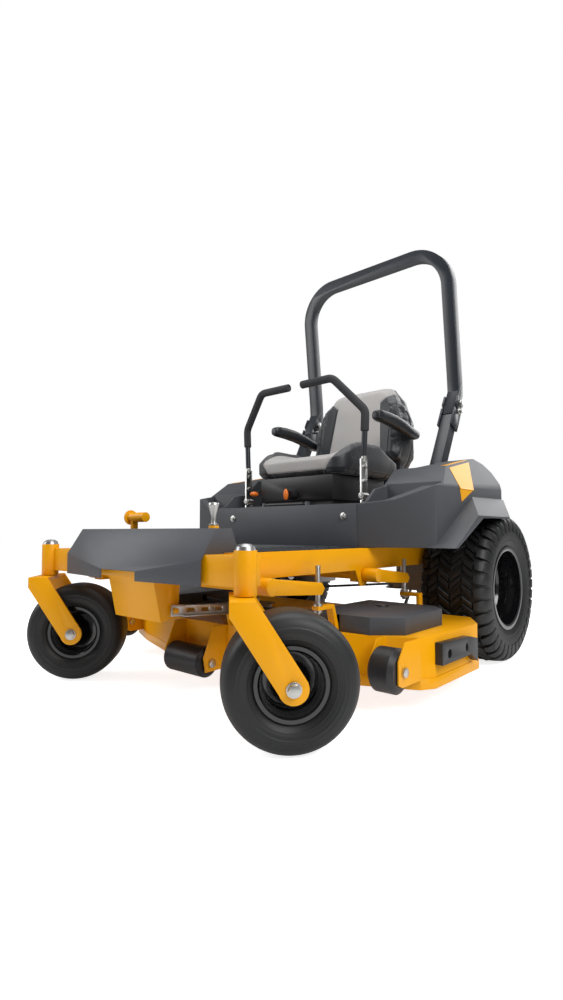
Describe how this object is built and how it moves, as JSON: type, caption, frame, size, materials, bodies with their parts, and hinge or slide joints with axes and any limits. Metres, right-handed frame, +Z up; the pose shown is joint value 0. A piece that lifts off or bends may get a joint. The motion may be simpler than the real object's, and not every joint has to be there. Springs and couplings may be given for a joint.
{
  "type": "zero turn mower",
  "caption": "Ride-on zero turn mower: steel frame, swivel casters, drive wheels, lap bars, suspension seat, folding roll hoop and a lifting deck with side outlet.",
  "frame": {"origin": "centre of the bounding box at ground level", "axes": "+Z up, +Y to the rear, +X to the operator's left"},
  "size_m": [1.686, 2.0274, 1.8346],
  "materials": {
    "yellow_paint": "gloss powder coat",
    "charcoal_paint": "fine texture powder coat",
    "slate_paint": "satin powder coat",
    "black_paint": "gloss paint",
    "charcoal_plastic": "moulded, fine grain",
    "black_plastic": "moulded",
    "zinc": "zinc plated",
    "cast_aluminium": "as cast",
    "steel": "bare steel",
    "tyre_rubber": "moulded tread",
    "black_rubber": "moulded",
    "foam": "closed-cell foam sleeve",
    "seat_cover": "vinyl with a woven centre"
  },
  "bodies": {
    "frame": {"main_frame": "yellow_paint", "front_cover": "charcoal_paint", "floor_pan": "slate_paint", "seat_box": "charcoal_paint", "frame_bolts": "zinc", "caster_bearings": "steel", "fender_left": "charcoal_plastic", "fender_right": "charcoal_plastic", "rops_posts": "slate_paint", "hydro_drives": "cast_aluminium", "engine_block": "cast_aluminium", "engine_shroud": "black_plastic"},
    "caster_left": {"caster_fork_left": "yellow_paint", "caster_axle_left": "zinc"},
    "caster_right": {"caster_fork_right": "yellow_paint", "caster_axle_right": "zinc"},
    "caster_wheel_left": {"caster_tyre_left": "tyre_rubber", "caster_rim_left": "black_paint"},
    "caster_wheel_right": {"caster_tyre_right": "tyre_rubber", "caster_rim_right": "black_paint"},
    "drive_wheel_left": {"drive_tyre_left": "tyre_rubber", "drive_rim_left": "black_paint"},
    "drive_wheel_right": {"drive_tyre_right": "tyre_rubber", "drive_rim_right": "black_paint"},
    "lever_left": {"lever_base_left": "zinc"},
    "lever_right": {"lever_base_right": "zinc"},
    "bar_left": {"lap_bar_left": "slate_paint", "lap_grip_left": "foam"},
    "bar_right": {"lap_bar_right": "slate_paint", "lap_grip_right": "foam"},
    "roll_hoop": {"rops_hoop": "slate_paint", "rops_lock_pins": "zinc"},
    "seat_tilt": {"seat_plate": "black_paint"},
    "seat_sprung": {"seat_frame": "black_plastic"},
    "seat": {"seat_cushion": "seat_cover", "seat_backrest": "seat_cover"},
    "armrest_l": {"armrest_left": "black_plastic"},
    "armrest_r": {"armrest_right": "black_plastic"},
    "knob": {"weight_knob": "black_plastic"},
    "deck": {"deck_shell": "yellow_paint", "deck_hardware": "zinc", "spindle_housings": "cast_aluminium", "deck_belt": "black_rubber", "belt_covers": "black_plastic", "side_bumper": "black_plastic"},
    "blade_left": {"spindle_left": "steel"},
    "blade_middle": {"spindle_middle": "steel"},
    "blade_right": {"spindle_right": "steel"},
    "gauge_left": {"gauge_wheel_left": "black_plastic"},
    "gauge_right": {"gauge_wheel_right": "black_plastic"},
    "roller": {"deck_roller": "black_plastic"},
    "chute": {"discharge_chute": "black_rubber"},
    "rock_front": {"rockshaft_front": "yellow_paint"},
    "rock_rear": {"rockshaft_rear": "yellow_paint"},
    "pedal": {"lift_pedal": "yellow_paint"},
    "pin": {"height_pin": "zinc"},
    "strut": {"deck_strut": "zinc"},
    "crank": {"crank_pulleys": "steel"},
    "throttle": {"throttle_lever": "black_plastic"},
    "cap": {"fuel_cap": "black_plastic"}
  },
  "joints": [
    {"name": "caster_swivel_left", "type": "hinge", "parent": "frame", "child": "caster_left", "pos_m": [0.604, -0.91335, 0.2], "axis": [0, 0, 1], "continuous": true},
    {"name": "caster_roll_left", "type": "hinge", "parent": "caster_left", "child": "caster_wheel_left", "pos_m": [0.67588, -0.83681, 0.165], "axis": [0.729, -0.6845, 0], "continuous": true},
    {"name": "drive_roll_left", "type": "hinge", "parent": "frame", "child": "drive_wheel_left", "pos_m": [0.648, 0.40365, 0.292], "axis": [1, 0, 0], "continuous": true},
    {"name": "caster_swivel_right", "type": "hinge", "parent": "frame", "child": "caster_right", "pos_m": [-0.39, -0.91335, 0.2], "axis": [0, 0, 1], "continuous": true},
    {"name": "caster_roll_right", "type": "hinge", "parent": "caster_right", "child": "caster_wheel_right", "pos_m": [-0.31812, -0.83681, 0.165], "axis": [0.729, -0.6845, 0], "continuous": true},
    {"name": "drive_roll_right", "type": "hinge", "parent": "frame", "child": "drive_wheel_right", "pos_m": [-0.434, 0.40365, 0.292], "axis": [1, 0, 0], "continuous": true},
    {"name": "lever_swing_left", "type": "hinge", "parent": "frame", "child": "lever_left", "pos_m": [0.413, -0.09635, 0.56], "axis": [1, 0, 0], "range_deg": [-8, 18]},
    {"name": "lever_swing_right", "type": "hinge", "parent": "frame", "child": "lever_right", "pos_m": [-0.199, -0.09635, 0.56], "axis": [1, 0, 0], "range_deg": [-8, 18]},
    {"name": "bar_out_left", "type": "hinge", "parent": "lever_left", "child": "bar_left", "pos_m": [0.413, -0.09635, 0.65], "axis": [0, 1, 0], "range_deg": [0, 28]},
    {"name": "bar_out_right", "type": "hinge", "parent": "lever_right", "child": "bar_right", "pos_m": [-0.199, -0.09635, 0.65], "axis": [0, -1, 0], "range_deg": [0, 28]},
    {"name": "hoop_fold", "type": "hinge", "parent": "frame", "child": "roll_hoop", "pos_m": [0.107, 0.49808, 1.08809], "axis": [-1, 0, 0], "range_deg": [0, 105]},
    {"name": "seat_tilt_forward", "type": "hinge", "parent": "frame", "child": "seat_tilt", "pos_m": [0.107, -0.19635, 0.623], "axis": [1, 0, 0], "range_deg": [0, 17]},
    {"name": "seat_suspension", "type": "slide", "parent": "seat_tilt", "child": "seat_sprung", "axis": [0, 0, 1], "range_m": [-0.015, 0.025], "stiffness_N_per_m": 20000, "springref_m": 0.018},
    {"name": "seat_fore_aft", "type": "slide", "parent": "seat_sprung", "child": "seat", "axis": [0, 1, 0], "range_m": [-0.03, 0.06]},
    {"name": "armrest_lift_left", "type": "hinge", "parent": "seat", "child": "armrest_l", "pos_m": [0.357, 0.38365, 0.95], "axis": [-1, 0, 0], "range_deg": [0, 95]},
    {"name": "armrest_lift_right", "type": "hinge", "parent": "seat", "child": "armrest_r", "pos_m": [-0.143, 0.38365, 0.95], "axis": [-1, 0, 0], "range_deg": [0, 95]},
    {"name": "weight_knob_turn", "type": "hinge", "parent": "seat_sprung", "child": "knob", "pos_m": [0.101, -0.15635, 0.664], "axis": [0, 1, 0], "continuous": true},
    {"name": "deck_lift", "type": "slide", "parent": "frame", "child": "deck", "axis": [0, 0, 1], "range_m": [-0.035, 0.05], "deforming": ["deck_belt"]},
    {"name": "blade_spin_left", "type": "hinge", "parent": "deck", "child": "blade_left", "pos_m": [0.559, -0.21635, 0.1], "axis": [0, 0, 1], "continuous": true},
    {"name": "blade_spin_middle", "type": "hinge", "parent": "deck", "child": "blade_middle", "pos_m": [0.107, -0.36635, 0.1], "axis": [0, 0, 1], "continuous": true},
    {"name": "blade_spin_right", "type": "hinge", "parent": "deck", "child": "blade_right", "pos_m": [-0.345, -0.21635, 0.1], "axis": [0, 0, 1], "continuous": true},
    {"name": "gauge_roll_left", "type": "hinge", "parent": "deck", "child": "gauge_left", "pos_m": [0.752, -0.50135, 0.134], "axis": [1, 0, 0], "continuous": true},
    {"name": "gauge_roll_right", "type": "hinge", "parent": "deck", "child": "gauge_right", "pos_m": [-0.538, -0.50135, 0.134], "axis": [1, 0, 0], "continuous": true},
    {"name": "roller_roll", "type": "hinge", "parent": "deck", "child": "roller", "pos_m": [0.112, -0.67635, 0.099], "axis": [1, 0, 0], "continuous": true},
    {"name": "chute_lift", "type": "hinge", "parent": "deck", "child": "chute", "pos_m": [-0.613, -0.16635, 0.203], "axis": [0, 1, 0], "range_deg": [0, 85]},
    {"name": "rock_front_turn", "type": "hinge", "parent": "frame", "child": "rock_front", "pos_m": [0.107, -0.77135, 0.367], "axis": [1, 0, 0], "range_deg": [-12, 17]},
    {"name": "rock_rear_turn", "type": "hinge", "parent": "frame", "child": "rock_rear", "pos_m": [0.107, -0.23935, 0.367], "axis": [1, 0, 0], "range_deg": [-12, 17]},
    {"name": "pedal_press", "type": "hinge", "parent": "frame", "child": "pedal", "pos_m": [-0.193, -0.69635, 0.415], "axis": [1, 0, 0], "range_deg": [-21, 30]},
    {"name": "height_pin_pull", "type": "slide", "parent": "frame", "child": "pin", "axis": [0, 0, 1], "range_m": [0, 0.04]},
    {"name": "strut_turn", "type": "hinge", "parent": "frame", "child": "strut", "pos_m": [0.233, -0.83735, 0.283], "axis": [1, 0, 0], "range_deg": [-9.5, 13.2]},
    {"name": "crank_spin", "type": "hinge", "parent": "frame", "child": "crank", "pos_m": [0.107, 0.70365, 0.3], "axis": [0, 0, 1], "continuous": true},
    {"name": "throttle_turn", "type": "hinge", "parent": "frame", "child": "throttle", "pos_m": [-0.223, 0.02365, 0.641], "axis": [1, 0, 0], "range_deg": [-35, 35]},
    {"name": "cap_turn", "type": "hinge", "parent": "frame", "child": "cap", "pos_m": [-0.398, 0.29365, 0.83], "axis": [0, 0, 1], "continuous": true}
  ],
  "couplings": [
    {"joint": "rock_front_turn", "follows": "deck_lift", "rad_per_m": 4.6296},
    {"joint": "rock_rear_turn", "follows": "deck_lift", "rad_per_m": 5.0505},
    {"joint": "pedal_press", "follows": "deck_lift", "rad_per_m": 10.2},
    {"joint": "strut_turn", "follows": "deck_lift", "rad_per_m": 4.3197},
    {"joint": "blade_spin_left", "follows": "crank_spin", "ratio": 1},
    {"joint": "blade_spin_middle", "follows": "crank_spin", "ratio": 1},
    {"joint": "blade_spin_right", "follows": "crank_spin", "ratio": 1}
  ]
}
